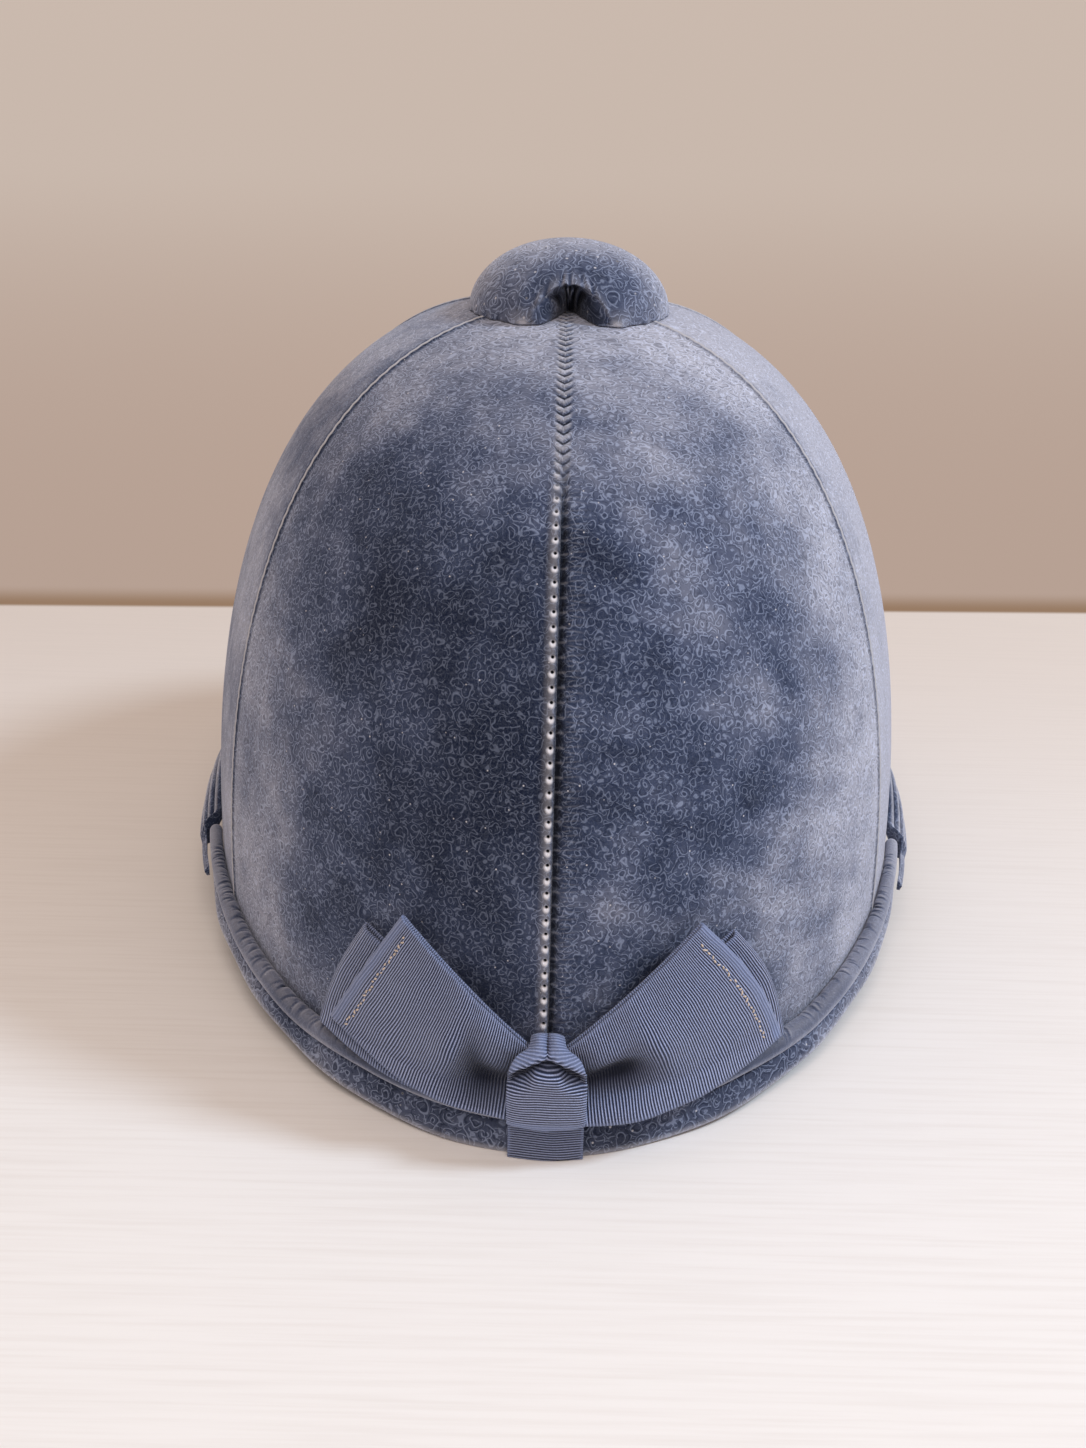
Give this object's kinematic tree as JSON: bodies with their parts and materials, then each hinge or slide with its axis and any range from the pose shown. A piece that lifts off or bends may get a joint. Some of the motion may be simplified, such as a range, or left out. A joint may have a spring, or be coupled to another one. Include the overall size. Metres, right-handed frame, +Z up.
{
  "type": "riding hunt cap",
  "caption": "Velvet-covered riding cap with a six-panel dome, padded top button, corded edge, narrow back brim, front peak and ribbon bow at the back.",
  "frame": {"origin": "centre of the bounding box on the surface that the cap stands on", "axes": "+Z up, +Y towards the peak, +X to the wearer's right seen from above with the peak forward"},
  "size_m": [0.2104, 0.3146, 0.1865],
  "materials": {
    "velvet": "slate-blue velvet with a fine curled pile pattern",
    "velvet_trim": "slate-blue velvet gathered over cord and padding",
    "ribbon": "ribbed matt ribbon"
  },
  "bodies": {
    "root": {"gore_back_left": "velvet", "gore_back_right": "velvet", "gore_side_right": "velvet", "gore_front_right": "velvet", "gore_front_left": "velvet", "gore_side_left": "velvet", "button": "velvet_trim", "piping": "velvet_trim", "back_brim": "velvet_trim", "peak": "velvet_trim", "bow_loop_back_left": "ribbon", "bow_loop_back_right": "ribbon", "bow_loop_front_left": "ribbon", "bow_loop_front_right": "ribbon", "bow_knot": "ribbon", "tail_tab": "ribbon"}
  },
  "joints": []
}
